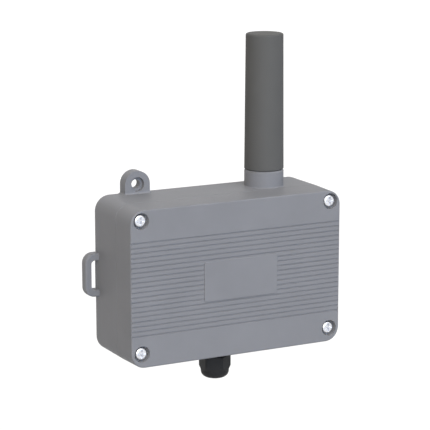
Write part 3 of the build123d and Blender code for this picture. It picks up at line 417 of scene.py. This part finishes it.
def make_threaded_gland(material):
    """The gland body with its helical thread, in place of the plain one."""
    rings = [round_ring(LOWER_BORE_RADIUS, GLAND_END)]
    rings += thread_rings(GLAND_END, FLANGE_BOTTOM, LOWER_THREAD_RADIUS, True, False)
    rings.append(hex_ring(FLANGE_BOTTOM, 2 * CORNER_CLIP))
    rings.append(hex_ring(FLANGE_BOTTOM + CORNER_CLIP, CORNER_CLIP))
    rings.append(hex_ring(FLANGE_TOP - CORNER_CLIP, CORNER_CLIP))
    rings.append(hex_ring(FLANGE_TOP, 2 * CORNER_CLIP))
    rings += thread_rings(FLANGE_TOP, GLAND_UPPER_END, UPPER_THREAD_RADIUS, False, True)
    rings.append(round_ring(UPPER_BORE_RADIUS, GLAND_UPPER_END))
    rings.append(round_ring(UPPER_BORE_RADIUS, GLAND_SEAT))
    rings.append(round_ring(LOWER_BORE_RADIUS, GLAND_SEAT))
    mesh = mesh_from_rings("gland_body_threaded", rings)
    mesh.materials.append(material)
    piece = bpy.data.objects.new("gland_body_threaded", mesh)
    bpy.context.scene.collection.objects.link(piece)
    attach(piece, "housing")
    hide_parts("gland_body")


# Stage
def seen_directly(tree):
    """One for the rays that look at the background: from the camera, by gloss or through glass."""
    rays = add(tree, "ShaderNodeLightPath")
    seen = add(tree, "ShaderNodeMath", operation="MAXIMUM")
    seen_through = add(tree, "ShaderNodeMath", operation="MAXIMUM")
    tree.links.new(rays.outputs["Is Camera Ray"], seen.inputs[0])
    tree.links.new(rays.outputs["Is Glossy Ray"], seen.inputs[1])
    tree.links.new(seen.outputs["Value"], seen_through.inputs[0])
    tree.links.new(rays.outputs["Is Transmission Ray"], seen_through.inputs[1])
    return seen_through.outputs["Value"]


def make_floor():
    """Plain floor, well below a part that hangs on a wall, with a pale glow to the camera, gloss and glass."""
    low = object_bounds()[0][2]
    mesh = bpy.data.meshes.new("floor")
    half = FLOOR_SIZE / 2
    level = low - FLOOR_DROP
    mesh.from_pydata([(-half, -half, level), (half, -half, level), (half, half, level), (-half, half, level)],
                     [], [(0, 1, 2, 3)])
    floor = bpy.data.objects.new("floor", mesh)
    bpy.context.scene.collection.objects.link(floor)
    material, tree, shader = new_material("pale_floor")
    shader.inputs["Base Color"].default_value = (FLOOR_SHADE, FLOOR_SHADE, FLOOR_SHADE, 1.0)
    shader.inputs["Roughness"].default_value = FLOOR_ROUGHNESS
    glow = add(tree, "ShaderNodeEmission", Strength=FLOOR_GLOW)
    both = add(tree, "ShaderNodeAddShader")
    choice = add(tree, "ShaderNodeMixShader")
    tree.links.new(shader.outputs["BSDF"], both.inputs[0])
    tree.links.new(glow.outputs["Emission"], both.inputs[1])
    tree.links.new(seen_directly(tree), choice.inputs["Fac"])
    tree.links.new(shader.outputs["BSDF"], choice.inputs[1])
    tree.links.new(both.outputs["Shader"], choice.inputs[2])
    tree.links.new(choice.outputs["Shader"], tree.nodes["Material Output"].inputs["Surface"])
    mesh.materials.append(material)


def make_world():
    """Even light all round, and white to the camera, gloss and glass."""
    world = bpy.data.worlds.new("studio")
    bpy.context.scene.world = world
    world.use_nodes = True
    tree = world.node_tree
    surroundings = tree.nodes["Background"]
    surroundings.inputs["Color"].default_value = WHITE
    surroundings.inputs["Strength"].default_value = WORLD_LIGHT
    white = add(tree, "ShaderNodeBackground", Strength=1.0)
    white.inputs["Color"].default_value = WHITE
    choice = add(tree, "ShaderNodeMixShader")
    tree.links.new(seen_directly(tree), choice.inputs["Fac"])
    tree.links.new(surroundings.outputs["Background"], choice.inputs[1])
    tree.links.new(white.outputs["Background"], choice.inputs[2])
    tree.links.new(choice.outputs["Shader"], tree.nodes["World Output"].inputs["Surface"])


def towards(azimuth, elevation):
    """Direction from the object towards a light or camera. Azimuth 0 is in front, positive to the right."""
    a = math.radians(azimuth)
    e = math.radians(elevation)
    return Vector((math.sin(a) * math.cos(e), -math.cos(a) * math.cos(e), math.sin(e)))


def make_softbox(name, azimuth, elevation, strength, colour):
    """Far, wide softbox: even light from one side, with soft shadows."""
    light = bpy.data.lights.new(name, "SUN")
    light.energy = strength
    light.angle = math.radians(LIGHT_SPREAD)
    light.color = colour
    lamp = bpy.data.objects.new(name, light)
    direction = towards(azimuth, elevation)
    lamp.location = direction
    lamp.rotation_euler = direction.to_track_quat("Z", "Y").to_euler()
    bpy.context.scene.collection.objects.link(lamp)


def make_camera():
    """Camera at the photograph's place and angle."""
    camera = bpy.data.cameras.new("camera")
    camera.sensor_width = SENSOR_MM
    camera.lens = FOCAL_PIXELS / PHOTO_PIXELS * SENSOR_MM
    camera.clip_start = CLIP_START
    camera.clip_end = CLIP_END
    back = towards(CAMERA_AZIMUTH, CAMERA_ELEVATION)
    right = Vector((0, 0, 1)).cross(back).normalized()
    up = back.cross(right)
    turn = Matrix((right, up, back)).transposed()
    viewer = bpy.data.objects.new("camera", camera)
    viewer.matrix_world = Matrix.Translation(CAMERA_PLACE) @ turn.to_4x4()
    bpy.context.scene.collection.objects.link(viewer)
    bpy.context.scene.camera = viewer


materials = make_materials()
dress(materials)
make_threaded_gland(materials["gland_nylon"])
make_floor()
make_world()
for light_name, values in LIGHTS.items():
    make_softbox(light_name, **values)
make_camera()
bpy.context.scene.view_settings.view_transform = "Standard"
